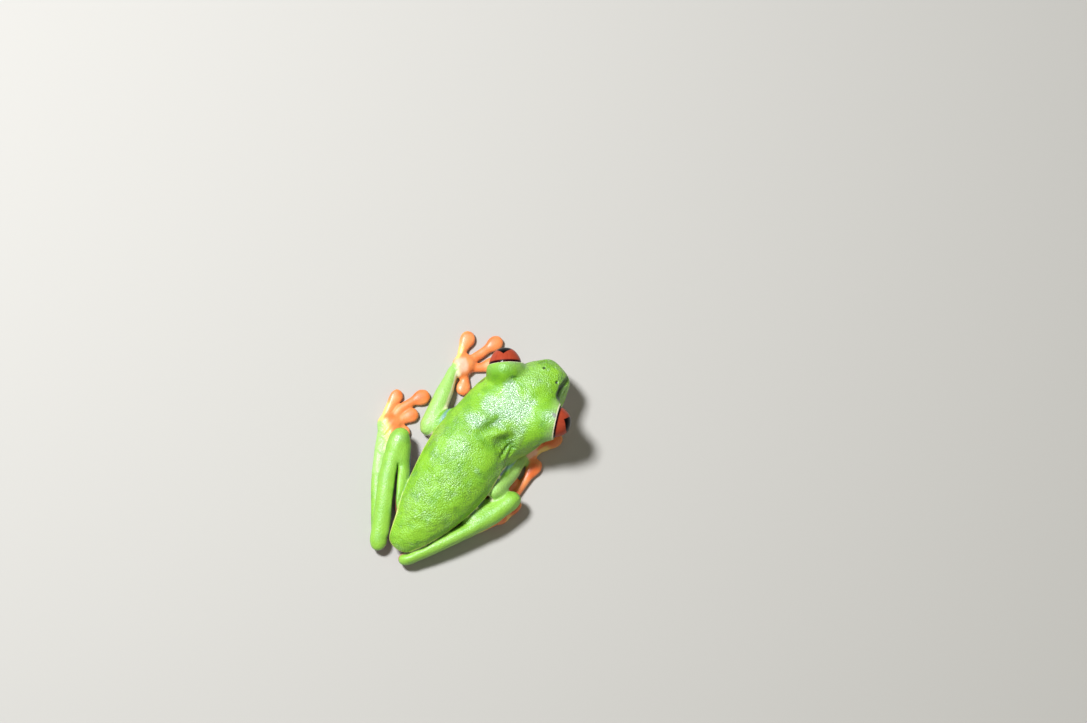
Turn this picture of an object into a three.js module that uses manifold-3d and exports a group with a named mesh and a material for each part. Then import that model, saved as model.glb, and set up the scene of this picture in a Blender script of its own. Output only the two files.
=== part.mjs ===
// A life-size red-eyed tree frog at rest: belly down, legs folded beside the body, head turned a little to its right.
// Millimetres, +Z up, resting on z = 0. The frog faces -Y, and its left side is +X.
import * as THREE from "three";
import { mergeVertices } from "three/addons/utils/BufferGeometryUtils.js";
import Module from "manifold-3d";

const wasm = await Module();
wasm.setup();

// Driving dimensions.
const SNOUT_VENT = 50;
const EYE_RADIUS = 0.067 * SNOUT_VENT;
const SOCKET_RADIUS = EYE_RADIUS + 0.25;
const LID_RADIUS = SOCKET_RADIUS + 0.45;
const EARDRUM_RADIUS = 0.024 * SNOUT_VENT;
const SEAM = 0.35; // the thin cut that parts two pieces
const FAR = 4 * SNOUT_VENT; // larger than the frog, for cutting blocks

const UP = new THREE.Vector3(0, 0, 1);
const radians = THREE.MathUtils.degToRad;

// A place or direction in the frog's own terms: ahead of the vent, to its left, and above the floor.
const at = ([ahead, left, up]) => new THREE.Vector3(left, -ahead, up);

// The head: turned to its right, tipped left side down, snout raised. Its origin is midway between the eyes.
const HEAD = {
  origin: at([40.9, -0.2, 8]),
  turn: new THREE.Quaternion().setFromEuler(new THREE.Euler(radians(-7), radians(5), radians(-9), "ZXY")),
};
const inHead = (place) => at(place).applyQuaternion(HEAD.turn).add(HEAD.origin);
const headWay = (direction) => at(direction).applyQuaternion(HEAD.turn).normalize();

// ---------------------------------------------------------------- solids

function toSolid(geometry) {
  const bare = geometry.clone();
  bare.deleteAttribute("normal");
  bare.deleteAttribute("uv");
  const merged = mergeVertices(bare, 1e-4);
  return new wasm.Manifold(
    new wasm.Mesh({
      numProp: 3,
      vertProperties: merged.attributes.position.array,
      triVerts: new Uint32Array(merged.index.array),
    }),
  );
}

function toGeometry(solid) {
  const mesh = solid.getMesh();
  return new THREE.BufferGeometry()
    .setAttribute("position", new THREE.BufferAttribute(new Float32Array(mesh.vertProperties), 3))
    .setIndex(new THREE.BufferAttribute(new Uint32Array(mesh.triVerts), 1));
}

// One ring of a loft: a superellipse with its own height and squareness above and below its widest line,
// drawn in by `taper` towards the top.
function ring({ center, across, up, half, rise, fall, upper = 2, lower = 2, taper = 0 }, sides) {
  const points = [];
  for (let i = 0; i < sides; i++) {
    const angle = (2 * Math.PI * i) / sides;
    const c = Math.cos(angle);
    const s = Math.sin(angle);
    const power = s > 0 ? upper : lower;
    const height = Math.abs(s) ** (2 / power) * (s > 0 ? 1 : -1);
    const width = Math.sign(c) * Math.abs(c) ** (2 / power) * half * (1 - taper * Math.max(0, height));
    points.push(
      center
        .clone()
        .addScaledVector(across, width)
        .addScaledVector(up, height * (s > 0 ? rise : fall)),
    );
  }
  return points;
}

// A closed loft through rings of equal count, with a point at each end.
function loft(rings, firstPole, lastPole) {
  const sides = rings[0].length;
  const points = [...rings.flat(), firstPole, lastPole];
  const firstIndex = points.length - 2;
  const lastIndex = points.length - 1;
  const lastRing = (rings.length - 1) * sides;
  const index = [];
  for (let i = 0; i < sides; i++) {
    const j = (i + 1) % sides;
    index.push(firstIndex, j, i);
    for (let a = 0; a < lastRing; a += sides) {
      index.push(a + i, a + j, a + sides + i);
      index.push(a + j, a + sides + j, a + sides + i);
    }
    index.push(lastIndex, lastRing + i, lastRing + j);
  }
  const solid = toSolid(new THREE.BufferGeometry().setFromPoints(points).setIndex(index));
  if (solid.volume() > 0) return solid;
  return toSolid(new THREE.BufferGeometry().setFromPoints(points).setIndex(index.reverse()));
}

// A section drawn in towards a rounded end: share 0 is the full section, 1 the tip. A high power makes it blunt.
function towardsEnd(section, outwards, { length, power }, share) {
  const size = (1 - share ** power) ** (1 / power);
  return {
    ...section,
    center: section.center.clone().addScaledVector(outwards, length * share),
    half: section.half * size,
    rise: section.rise * size,
    fall: section.fall * size,
  };
}

// A loft with both ends rounded. Each end gives its {length, power}, and shares says where its rings lie.
function roundedLoft(sections, sides, start, end, shares) {
  const first = sections[0];
  const last = sections.at(-1);
  const back = first.center.clone().sub(sections[1].center).normalize();
  const ahead = last.center.clone().sub(sections.at(-2).center).normalize();
  const all = [
    ...shares.map((share) => towardsEnd(first, back, start, share)).reverse(),
    ...sections,
    ...shares.map((share) => towardsEnd(last, ahead, end, share)),
  ];
  return loft(
    all.map((section) => ring(section, sides)),
    first.center.clone().addScaledVector(back, start.length),
    last.center.clone().addScaledVector(ahead, end.length),
  );
}

// The value at share t along a list of evenly spaced values, eased between them.
function eased(values, t) {
  const place = t * (values.length - 1);
  const i = Math.min(Math.floor(place), values.length - 2);
  return THREE.MathUtils.lerp(values[i], values[i + 1], THREE.MathUtils.smoothstep(place - i, 0, 1));
}

// A curve's middle at share t, with the directions across it and up from it, leaned about it by an angle.
function frameOf(curve, t, lean = 0) {
  const tangent = curve.getTangentAt(t);
  const across = new THREE.Vector3().crossVectors(UP, tangent).normalize().applyAxisAngle(tangent, lean);
  return { center: curve.getPointAt(t), across, up: new THREE.Vector3().crossVectors(tangent, across) };
}

// A limb: a rounded loft along a smooth curve, its half-widths and half-heights eased along it.
function limb(points, { halves, heights, steps = 5 }, grow = 0, lean = 0) {
  const curve = new THREE.CatmullRomCurve3(points.map(at));
  const sections = [];
  for (let i = 0; i <= steps; i++) {
    const t = i / steps;
    const height = eased(heights, t) + grow;
    sections.push({ ...frameOf(curve, t, lean), half: eased(halves, t) + grow, rise: height, fall: height });
  }
  const start = { length: halves[0] + grow, power: 2 };
  const end = { length: halves.at(-1) + grow, power: 2 };
  return roundedLoft(sections, 9, start, end, [0.75]);
}

// A finger or toe: a flattened limb whose tip widens into a round pad.
function digit(points, { halfWidth, thick, pad, steps = 4 }, grow = 0) {
  const curve = new THREE.CatmullRomCurve3(points.map(at));
  const length = curve.getLength();
  const blunt = 0.3 * pad; // how far the rounded end reaches past the last ring
  const sections = [];
  for (let i = 0; i <= steps; i++) {
    const t = Math.sin((Math.PI / 2) * (i / steps)) * (1 - blunt / length);
    const reach = Math.min(1, Math.abs(t * length - (length - pad)) / pad);
    const half = Math.max(halfWidth * (1 - 0.1 * t), pad * Math.sqrt(1 - reach ** 2)) + grow;
    const height = thick * (1 - 0.15 * t) + grow;
    sections.push({ ...frameOf(curve, t), half, rise: height, fall: height });
  }
  return roundedLoft(sections, 7, { length: thick + grow, power: 2 }, { length: blunt + grow, power: 2.5 }, [0.75]);
}

function ball(center, radius, sides = 15) {
  const sphere = new THREE.SphereGeometry(radius, sides, Math.round(0.6 * sides));
  return toSolid(sphere.translate(center.x, center.y, center.z));
}

// Turns a shape built along +Z so that it points along a direction, and moves it to a point.
function placed(geometry, point, direction) {
  const turn = new THREE.Quaternion().setFromUnitVectors(UP, direction.clone().normalize());
  return toSolid(geometry.applyQuaternion(turn).translate(point.x, point.y, point.z));
}

// All the space beyond a plane, on the side its normal points to.
function beyond(point, normal) {
  return placed(new THREE.BoxGeometry(FAR, FAR, FAR).translate(0, 0, FAR / 2), point, normal);
}

const underFloor = beyond(new THREE.Vector3(), UP.clone().negate());
const ontoFloor = (solid) => solid.subtract(underFloor);
const clearOf = (solid, ...neighbours) => neighbours.reduce((left, other) => left.subtract(other), solid);

// The two sides of a plane, with a seam between them: [ahead of the normal, behind it].
function parted(solid, point, normal) {
  const shift = (sign) => point.clone().addScaledVector(normal, (sign * SEAM) / 2);
  return [
    solid.subtract(beyond(shift(1), normal.clone().negate())),
    solid.subtract(beyond(shift(-1), normal)),
  ];
}

// ---------------------------------------------------------------- trunk and head

// Trunk sections: how far ahead of the vent, how far left of it, half-width, top, height of the widest line, and
// bottom. The belly dips below the floor so that it is cut flat there.
const TRUNK = {
  upper: 2.1,
  lower: 2.4,
  stations: [
    { ahead: 1.5, left: -0.1, half: 2.9, top: 6, widest: 4.2, bottom: 2.2 },
    { ahead: 4, left: -0.3, half: 3.9, top: 7.5, widest: 4.9, bottom: 1.1 },
    { ahead: 8, left: 0, half: 5.4, top: 9.1, widest: 5.6, bottom: 0 },
    { ahead: 12, left: 0.2, half: 6.6, top: 10.2, widest: 6, bottom: -0.2 },
    { ahead: 16, left: 0.5, half: 7.5, top: 10.9, widest: 6, bottom: -0.3 },
    { ahead: 20, left: 0.9, half: 8.05, top: 11.4, widest: 6, bottom: -0.3 },
    { ahead: 24, left: 1.4, half: 8.15, top: 11.8, widest: 6, bottom: -0.3 },
    { ahead: 28, left: 2, half: 7.7, top: 12, widest: 6, bottom: 0 },
  ],
};

// Head sections: how far ahead of the eyes, half-width at the lip, and how far the skull rises and the jaw falls.
const SKULL = {
  lip: -2.1, // height of the lip line against the head's origin
  stations: [
    { ahead: -8.2, half: 8.9, rise: 7.2, fall: 3.9, upper: 2.3, taper: 0.05 },
    { ahead: -5.2, half: 9.1, rise: 7.2, fall: 3.1, upper: 2.5, taper: 0.12 },
    { ahead: -2.4, half: 8.9, rise: 7.1, fall: 2.7, upper: 2.8, taper: 0.2 },
    { ahead: 0.4, half: 8.1, rise: 6.8, fall: 2.5, upper: 3, taper: 0.25 },
    { ahead: 3, half: 6.7, rise: 6.1, fall: 2.35, upper: 3, taper: 0.24 },
    { ahead: 5.2, half: 5.3, rise: 5.3, fall: 2.2, upper: 3, taper: 0.22 },
    { ahead: 6.8, half: 4.1, rise: 4.6, fall: 2, upper: 3, taper: 0.2 },
  ],
};

// Trunk and head as one form, swollen all over by `grow`.
function body(grow = 0) {
  const trunk = TRUNK.stations.map(({ ahead, left, half, top, widest, bottom }) => ({
    center: at([ahead, left, widest]),
    across: at([0, 1, 0]),
    up: UP,
    half: half + grow,
    rise: top - widest + grow,
    fall: widest - bottom + grow,
    upper: TRUNK.upper,
    lower: TRUNK.lower,
  }));
  const skull = SKULL.stations.map(({ ahead, half, rise, fall, upper, taper }) => ({
    center: inHead([ahead, 0, SKULL.lip]),
    across: headWay([0, 1, 0]),
    up: headWay([0, 0, 1]),
    half: half + grow,
    rise: rise + grow,
    fall: fall + grow,
    upper,
    lower: 2.4,
    taper,
  }));
  const rump = { length: 1.7 + grow, power: 2.5 };
  const snout = { length: 2 + grow, power: 3 };
  return roundedLoft([...trunk, ...skull], 25, rump, snout, [0.5, 0.9]);
}

// ---------------------------------------------------------------- eyes

const EYE = {
  aside: 7.3, // the middle of the lids, from the head's midline
  height: 2.3, // above the head's origin
  splay: radians(53), // from straight ahead towards the side
  opening: 0.95, // how far out of their middle the lids end
  proud: 0.35, // how far out of their middle the eyeball's centre is
};

// The two sides: which way is outwards, as a sign on the frog's left.
const SIDES = { left: 1, right: -1 };

const gaze = (sign) => headWay([Math.cos(EYE.splay), sign * Math.sin(EYE.splay), 0]);
const lidCentre = (sign) => inHead([0, sign * EYE.aside, EYE.height]);
const eyeCentre = (sign) => lidCentre(sign).addScaledVector(gaze(sign), EYE.proud);

function eyelid(sign, around) {
  const center = lidCentre(sign);
  const rim = center.clone().addScaledVector(gaze(sign), EYE.opening);
  return clearOf(ball(center, LID_RADIUS), beyond(rim, gaze(sign)), ball(eyeCentre(sign), SOCKET_RADIUS), around);
}

// The eardrum: a shallow round plug in the side of the head, behind and below the eye.
function eardrum(sign, radius, depth) {
  const center = inHead([-5.6, sign * 9.4, -0.1]);
  const outwards = headWay([-0.1, sign, 0.28]);
  const plug = new THREE.CylinderGeometry(radius, radius, depth, 14).rotateX(Math.PI / 2);
  return placed(plug, center, outwards);
}

// ---------------------------------------------------------------- limbs

// Half-widths and half-heights, from the end nearest the body outwards.
const SIZES = {
  thigh: { halves: [2.4, 2.2, 1.6], heights: [2.4, 2.1, 1.55] },
  shank: { halves: [1.95, 1.95, 1.85], heights: [1.8, 1.45, 1.5] },
  tarsus: { halves: [1.35, 1.3, 1.45], heights: [1.2, 1, 1.05], steps: 5 },
  foot: { halves: [1.45, 1.6, 1.9], heights: [1.05, 0.95, 0.9], steps: 5 },
  toe: { halfWidth: 0.82, thick: 0.68, pad: 1.35 },
  upper_arm: { halves: [1.8, 1.6, 1.6], heights: [1.9, 1.7, 1.6], steps: 5 },
  forearm: { halves: [2.05, 1.9, 1.15], heights: [1.85, 1.7, 1.05] },
  hand: { halves: [1.1, 1.4, 1.45], heights: [1, 0.95, 0.85], steps: 4 },
  finger: { halfWidth: 1, thick: 0.75, pad: 1.45 },
};

// The pose: the course of each limb from the body outwards, as [ahead, left, up].
const POSE = {
  left: {
    thigh: [[6.4, 3.8, 4], [11.6, 8.6, 3.5], [16.8, 12.7, 3.4]],
    shank: [[17.6, 14, 4.3], [11.6, 11.5, 4.1], [5.6, 7.6, 3.6], [-1.1, 3.3, 2.4]],
    shankLean: 0,
    tarsus: [[0, 4.4, 1.25], [4.6, 8.5, 1.1], [8.9, 12, 1.05]],
    foot: [[9.8, 12.6, 1.05], [14.5, 15.6, 0.95], [18, 17.4, 0.85]],
    toes: [
      [[14.6, 15.2, 0.65], [15.8, 13.6, 0.6], [16.6, 11.4, 0.6]],
      [[17, 16.2, 0.65], [18.4, 15.1, 0.6], [20.4, 13.6, 0.6]],
      [[18.2, 16.8, 0.65], [20.8, 16.4, 0.6], [24.4, 15, 0.6]],
      [[18.6, 17.6, 0.65], [22.6, 18, 0.6], [28.8, 15.8, 0.6]],
      [[18.4, 18.6, 0.65], [21, 19.6, 0.6], [25.3, 20.7, 0.6]],
    ],
    upper_arm: [[30.4, 7.9, 4.4], [26.9, 9.5, 3.2], [24, 10.2, 2.2]],
    forearm: [[23.6, 11.1, 2], [29.6, 12.9, 1.85], [36, 15.1, 1.15]],
    hand: [[36.6, 14.8, 1], [38.2, 14.2, 0.9]],
    fingers: [
      [[37, 13.3, 0.7], [35.8, 11.8, 0.65], [33.2, 10.6, 0.65]],
      [[38.4, 13.2, 0.7], [40.3, 11.1, 0.65], [43.4, 9.1, 0.65]],
      [[39, 14, 0.7], [42, 13.2, 0.65], [47.5, 12, 0.65]],
      [[38.4, 15.1, 0.7], [40.4, 16.4, 0.65], [44.3, 17.7, 0.65]],
    ],
  },
  right: {
    thigh: [[8.4, -4.6, 3.4], [14, -6.8, 3.3], [21, -9.8, 3]],
    shank: [[22.8, -11.5, 4.4], [16.2, -10, 4.2], [7.2, -6.5, 3.6], [0.2, -3.1, 2.3]],
    shankLean: radians(75),
    tarsus: [[1, -3.8, 1.25], [6.5, -6.3, 1.1], [11.6, -8.3, 1.05]],
    foot: [[12.5, -8.7, 1.05], [16.3, -10.1, 0.95], [19.2, -11.1, 0.85]],
    toes: [
      [[17, -9.6, 0.65], [18.8, -8.2, 0.6], [20.4, -6.4, 0.6]],
      [[18.6, -9.9, 0.65], [21, -8.7, 0.6], [23.8, -7.6, 0.6]],
      [[19.6, -10.5, 0.65], [23.6, -9.6, 0.6], [27.6, -8.7, 0.6]],
      [[20, -11.2, 0.65], [26, -11.1, 0.6], [33.3, -10.3, 0.6]],
      [[19.4, -12, 0.65], [21.2, -12.7, 0.6], [24.2, -12.9, 0.6]],
    ],
    upper_arm: [[30.6, -5.2, 4.6], [26.6, -6, 4.9], [23, -7, 5.2]],
    forearm: [[22.2, -7.4, 5.4], [26.8, -7.6, 3.4], [31.2, -7.6, 1.4]],
    hand: [[32.1, -7.5, 1.05], [34.2, -7.4, 0.9]],
    fingers: [
      [[33.2, -6.2, 0.7], [34.4, -4.4, 0.65], [36.2, -3, 0.65]],
      [[34.6, -6.7, 0.7], [37.8, -5.2, 0.65], [41.4, -4.4, 0.65]],
      [[35.2, -7.4, 0.7], [38.8, -7.4, 0.65], [43.2, -7.2, 0.65]],
      [[34.6, -8.2, 0.7], [37, -9.6, 0.65], [40.4, -10.2, 0.65]],
    ],
  },
};

// ---------------------------------------------------------------- assembly

const COLOURS = {
  green: { color: 0x6fae3a, roughness: 0.45 },
  pale: { color: 0xe9ead2, roughness: 0.5 },
  blue: { color: 0x4f86b4, roughness: 0.5 },
  orange: { color: 0xe8702a, roughness: 0.45 },
  red: { color: 0xb3301a, roughness: 0.1 },
};

const group = new THREE.Group();

function add(name, solid, colour) {
  const mesh = new THREE.Mesh(
    toGeometry(solid),
    new THREE.MeshStandardMaterial({ ...COLOURS[colour], metalness: 0, name: colour }),
  );
  mesh.name = name;
  group.add(mesh);
}

function addHeadAndTrunk() {
  const grown = body(SEAM);
  const whole = ontoFloor(body());
  const sockets = Object.values(SIDES).map((sign) => ball(eyeCentre(sign), SOCKET_RADIUS));
  const earHoles = Object.values(SIDES).map((sign) => eardrum(sign, EARDRUM_RADIUS + SEAM, 3));
  const neck = inHead([-9.6, 0, 0]);
  const [headBlank, trunk] = parted(whole, neck, headWay([1, 0, 0]));
  const mouth = inHead([0, 0, SKULL.lip - 0.1]);
  const [skull, underMouth] = parted(headBlank, mouth, headWay([0, 0, 1]));
  const [jaw, throat] = parted(underMouth, inHead([-6.4, 0, 0]), headWay([1, 0, 0.6]));
  add("trunk", trunk, "green");
  add("head", clearOf(skull, ...sockets, ...earHoles), "green");
  add("lower_jaw", jaw, "pale");
  add("throat", throat, "pale");
  for (const [side, sign] of Object.entries(SIDES)) {
    add(`eyelid_${side}`, eyelid(sign, grown), "green");
    add(`eye_${side}`, ball(eyeCentre(sign), EYE_RADIUS), "red");
    add(`eardrum_${side}`, eardrum(sign, EARDRUM_RADIUS, 2).intersect(body(0)), "green");
  }
  return grown;
}

// Fingers or toes, numbered from the inner side, each clear of its neighbours and of the ones before it.
function addDigits(name, side, courses, size, ...neighbours) {
  const earlier = [...neighbours];
  courses.forEach((points, i) => {
    add(`${name}_${i + 1}_${side}`, ontoFloor(clearOf(digit(points, size), ...earlier)), "orange");
    earlier.push(digit(points, size, SEAM));
  });
}

function addLeg(side, pose, grownBody) {
  const thigh = (grow) => limb(pose.thigh, SIZES.thigh, grow);
  const shank = (grow) => limb(pose.shank, SIZES.shank, grow, pose.shankLean);
  const tarsus = (grow) => limb(pose.tarsus, SIZES.tarsus, grow);
  const foot = (grow) => limb(pose.foot, SIZES.foot, grow);
  const upperLeg = [shank(SEAM), thigh(SEAM)];
  add(`thigh_${side}`, ontoFloor(clearOf(thigh(0), grownBody, shank(SEAM))), "blue");
  add(`shank_${side}`, ontoFloor(clearOf(shank(0), grownBody)), "green");
  add(`tarsus_${side}`, ontoFloor(clearOf(tarsus(0), grownBody, ...upperLeg)), "pale");
  add(`foot_${side}`, ontoFloor(clearOf(foot(0), tarsus(SEAM), ...upperLeg)), "orange");
  addDigits("toe", side, pose.toes, SIZES.toe, foot(SEAM));
}

function addArm(side, pose, grownBody) {
  const forearm = (grow) => limb(pose.forearm, SIZES.forearm, grow);
  const hand = (grow) => limb(pose.hand, SIZES.hand, grow);
  const upperArm = limb(pose.upper_arm, SIZES.upper_arm);
  add(`upper_arm_${side}`, ontoFloor(clearOf(upperArm, grownBody, forearm(SEAM))), "blue");
  add(`forearm_${side}`, ontoFloor(clearOf(forearm(0), grownBody)), "green");
  add(`hand_${side}`, ontoFloor(clearOf(hand(0), forearm(SEAM))), "orange");
  addDigits("finger", side, pose.fingers, SIZES.finger, hand(SEAM), forearm(SEAM));
}

const grownBody = addHeadAndTrunk();
for (const side of Object.keys(SIDES)) {
  addLeg(side, POSE[side], grownBody);
  addArm(side, POSE[side], grownBody);
}

// The origin is the middle of the footprint, on the floor.
const middle = new THREE.Box3().setFromObject(group).getCenter(new THREE.Vector3());
group.position.set(-middle.x, -middle.y, 0);
group.updateMatrixWorld(true);

export default group;
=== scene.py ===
"""A life-size red-eyed tree frog at rest: one skin over the flesh, separate eyes, and a plain studio."""

import math

import bpy
import numpy as np
import openvdb as vdb
from mathutils import Matrix, Vector


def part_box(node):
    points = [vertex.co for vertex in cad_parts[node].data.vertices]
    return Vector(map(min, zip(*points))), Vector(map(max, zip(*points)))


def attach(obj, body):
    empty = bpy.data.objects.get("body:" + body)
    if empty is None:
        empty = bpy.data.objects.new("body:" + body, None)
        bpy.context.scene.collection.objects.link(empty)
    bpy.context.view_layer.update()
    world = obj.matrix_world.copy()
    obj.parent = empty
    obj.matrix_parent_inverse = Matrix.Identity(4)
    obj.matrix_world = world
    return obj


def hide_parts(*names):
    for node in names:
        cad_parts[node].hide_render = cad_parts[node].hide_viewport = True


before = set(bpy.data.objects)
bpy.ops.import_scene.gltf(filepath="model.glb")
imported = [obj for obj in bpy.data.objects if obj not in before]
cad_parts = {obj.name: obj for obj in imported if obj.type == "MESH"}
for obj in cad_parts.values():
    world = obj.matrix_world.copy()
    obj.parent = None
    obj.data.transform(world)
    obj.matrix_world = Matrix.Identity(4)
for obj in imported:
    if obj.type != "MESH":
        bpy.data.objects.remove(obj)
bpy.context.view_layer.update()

MM = 0.001
STEP = 0.13  # size of a voxel, mm
SIDES = {"left": 1, "right": -1}


# ---------------------------------------------------------------- places, in millimetres


def corners(node):
    low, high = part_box(node)
    return np.array(low) / MM, np.array(high) / MM


def middle(node):
    low, high = corners(node)
    return (low + high) / 2


def unit(v):
    v = np.asarray(v, float)
    return v / np.linalg.norm(v)


def turned(x, y, z):
    """A turn by degrees about Y, then X, then Z."""
    return np.array(
        Matrix.Rotation(math.radians(z), 3, "Z")
        @ Matrix.Rotation(math.radians(x), 3, "X")
        @ Matrix.Rotation(math.radians(y), 3, "Y")
    )


# The head is turned to its right, tipped left side down, and its snout raised.
HEAD_TURN = turned(-7, 5, -9)
AHEAD, LEFT, RISE = HEAD_TURN @ (0, -1, 0), HEAD_TURN @ (1, 0, 0), HEAD_TURN @ (0, 0, 1)
SPLAY = math.radians(53)  # the eyes' gaze, from straight ahead
EYE_PROUD = 0.35  # how far the eyeball's centre is out of the lids' middle
EYE_HEIGHT = 2.3  # above the head's middle
LID_RADIUS = 4.02
LID_BACK = 0.75  # how far the lids' dome is behind the eye's centre
LID_EDGE = {"left": 0.3, "right": 0.75}  # how far beyond the eye's centre the lids end
GROOVE = {"left": 0.6, "right": 1.0}  # how deep the groove from nostril to eye is, and how strong the painted shade in it is
EYE_TURN = {"left": (0, -12, 3), "right": (2, -8, 14)}  # the eyeball's turn backwards and down, and its roll
LIP = -2.2  # height of the mouth's line in the head
TO_FLOOR = 0.01  # the skin ends this far above the floor

EYE = {side: middle(f"eye_{side}") for side in SIDES}
EYE_RADIUS = float(np.ptp(corners("eye_left"), axis=0).max() / 2)
GAZE = {side: unit(math.cos(SPLAY) * AHEAD + sign * math.sin(SPLAY) * LEFT) for side, sign in SIDES.items()}
BETWEEN = (EYE["left"] - EYE_PROUD * GAZE["left"] + EYE["right"] - EYE_PROUD * GAZE["right"]) / 2
HEAD = BETWEEN - EYE_HEIGHT * RISE
LID = {side: EYE[side] - LID_BACK * GAZE[side] for side in SIDES}
VENT = HEAD - np.array((-0.2, -40.9, 8))  # under the head by 8 mm, and 40.9 mm behind its middle


def in_head(ahead, left, up):
    """A place measured from the middle of the head."""
    return HEAD + ahead * AHEAD + left * LEFT + up * RISE


def in_frog(ahead, left, up=0.0):
    """A place ahead of the vent, to its left, and above the floor."""
    return VENT + np.array((left, -ahead, up))


# ---------------------------------------------------------------- distance fields

MARGIN = 2.0
BOXES = np.array([corners(node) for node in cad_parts])
START = np.floor((BOXES.min((0, 1)) - MARGIN) / STEP).astype(int)
SHAPE = np.ceil((BOXES.max((0, 1)) + MARGIN) / STEP).astype(int) - START
GRID = vdb.createLinearTransform(STEP)


def block(low, high, margin=1.6):
    """The voxels round a box, as slices of the whole grid."""
    first = np.clip(np.floor((low - margin) / STEP).astype(int) - START, 0, SHAPE)
    last = np.clip(np.ceil((high + margin) / STEP).astype(int) + 1 - START, 0, SHAPE)
    return tuple(slice(int(a), int(b)) for a, b in zip(first, last))


def block_of(*nodes, margin=1.6):
    boxes = [corners(node) for node in nodes]
    return block(np.min([b[0] for b in boxes], 0), np.max([b[1] for b in boxes], 0), margin)


def first_voxel(cut):
    return [int(START[a]) + cut[a].start for a in range(3)]


def axes(cut):
    """The coordinates of a block's voxels, as three arrays that broadcast."""
    counts = [START[a] + np.arange(cut[a].start, cut[a].stop) for a in range(3)]
    lines = [n.astype(np.float32) * np.float32(STEP) for n in counts]
    return np.meshgrid(*lines, indexing="ij", sparse=True)


def from_mesh(cut, points, triangles=None, quads=None, band=1.6):
    """The signed distance to a closed mesh at the voxels of a block."""
    grid = vdb.FloatGrid.createLevelSetFromPolygons(
        points.astype(np.float32), triangles=triangles, quads=quads, transform=GRID, halfWidth=band / STEP
    )
    out = np.zeros([c.stop - c.start for c in cut], np.float32)
    grid.copyToArray(out, ijk=first_voxel(cut))
    return out


def of_node(name, cut, band=1.6):
    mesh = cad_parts[name].data
    mesh.calc_loop_triangles()
    points = np.empty(len(mesh.vertices) * 3, np.float32)
    mesh.vertices.foreach_get("co", points)
    faces = np.empty(len(mesh.loop_triangles) * 3, np.int32)
    mesh.loop_triangles.foreach_get("vertices", faces)
    return from_mesh(cut, points.reshape(-1, 3) / MM, faces.reshape(-1, 3).astype(np.uint32), band=band)


def surface(field, cut, level=0.0):
    """The mesh of quads where a field has a value."""
    grid = vdb.FloatGrid(4.0)
    grid.copyFromArray(np.ascontiguousarray(field), ijk=first_voxel(cut))
    grid.transform = GRID
    return grid.convertToQuads(level)


def moved_out(field, cut, by, band):
    """The true distance to a field's surface moved outwards."""
    points, quads = surface(field, cut, by)
    return from_mesh(cut, points, quads=quads, band=band)


def blurred(field, sigma):
    """A Gaussian blur, sigma in mm."""
    n = int(math.ceil(2.7 * sigma / STEP))
    taps = np.exp(-0.5 * (np.arange(-n, n + 1) * STEP / sigma) ** 2)
    taps = (taps / taps.sum()).astype(np.float32)
    for axis in range(3):
        padded = np.pad(field, [(n, n) if a == axis else (0, 0) for a in range(3)], mode="edge")
        out = np.zeros_like(field)
        for i, tap in enumerate(taps):
            part = [slice(None)] * 3
            part[axis] = slice(i, i + field.shape[axis])
            out += tap * padded[tuple(part)]
        field = out
    return field


def joined(a, b, reach):
    """The union of two fields, with a fillet where they meet."""
    h = np.maximum(reach - np.abs(a - b), 0) / reach
    return np.minimum(a, b) - h * h * reach / 4


def cut_away(a, b, reach):
    """The first field's shape less the second's, with an eased edge."""
    return -joined(-a, b, reach)


def join(whole, cut, part, part_cut, reach):
    """Joins a part on a smaller block into a whole."""
    inner = tuple(slice(p.start - w.start, p.stop - w.start) for p, w in zip(part_cut, cut))
    whole[inner] = joined(whole[inner], part, reach)


def ball(cut, center, radius):
    x, y, z = axes(cut)
    gap = np.sqrt((x - center[0]) ** 2 + (y - center[1]) ** 2 + (z - center[2]) ** 2)
    return gap.astype(np.float32) - np.float32(radius)


def tube(cut, path, radii):
    """A round tube along a path, with a radius at each of its points."""
    x, y, z = axes(cut)
    out = np.float32(9)
    for a, b, first, last in zip(path, path[1:], radii, radii[1:]):
        way = b - a
        dx, dy, dz = x - a[0], y - a[1], z - a[2]
        t = np.clip((dx * way[0] + dy * way[1] + dz * way[2]) / (way @ way), 0, 1)
        gap = np.sqrt((dx - t * way[0]) ** 2 + (dy - t * way[1]) ** 2 + (dz - t * way[2]) ** 2)
        out = np.minimum(out, gap - (first + t * (last - first)))
    return out.astype(np.float32)


def beyond(cut, point, way):
    """A half-space: below 0 on the side of a plane that a direction points to."""
    x, y, z = axes(cut)
    return -((x - point[0]) * way[0] + (y - point[1]) * way[1] + (z - point[2]) * way[2]).astype(np.float32)


def eased(low, high, value):
    t = np.clip((value - low) / (high - low), 0, 1)
    return t * t * (3 - 2 * t)


# ---------------------------------------------------------------- the skin's shape

BODY = ["trunk", "head", "lower_jaw", "throat", "eardrum_left", "eardrum_right"]
LIMBS = {
    "leg": ["thigh", "shank", "tarsus", "foot", "toe_1", "toe_2", "toe_3", "toe_4", "toe_5"],
    "arm": ["upper_arm", "forearm", "hand", "finger_1", "finger_2", "finger_3", "finger_4"],
}
# How far, in mm, each part's own edges are blurred.
SOFTNESS = {"thigh": 0.42, "shank": 0.42, "tarsus": 0.3, "foot": 0.3}
SOFTNESS |= {"upper_arm": 0.4, "forearm": 0.38, "hand": 0.3}
DIGIT_SOFTNESS = 0.2
# The slit of the left leg, as [ahead, left].
SLIT = {"left": [(13.2, 10.7), (11.2, 9.4), (9.2, 7.9), (7.1, 6.4), (5.0, 4.6)]}
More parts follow.
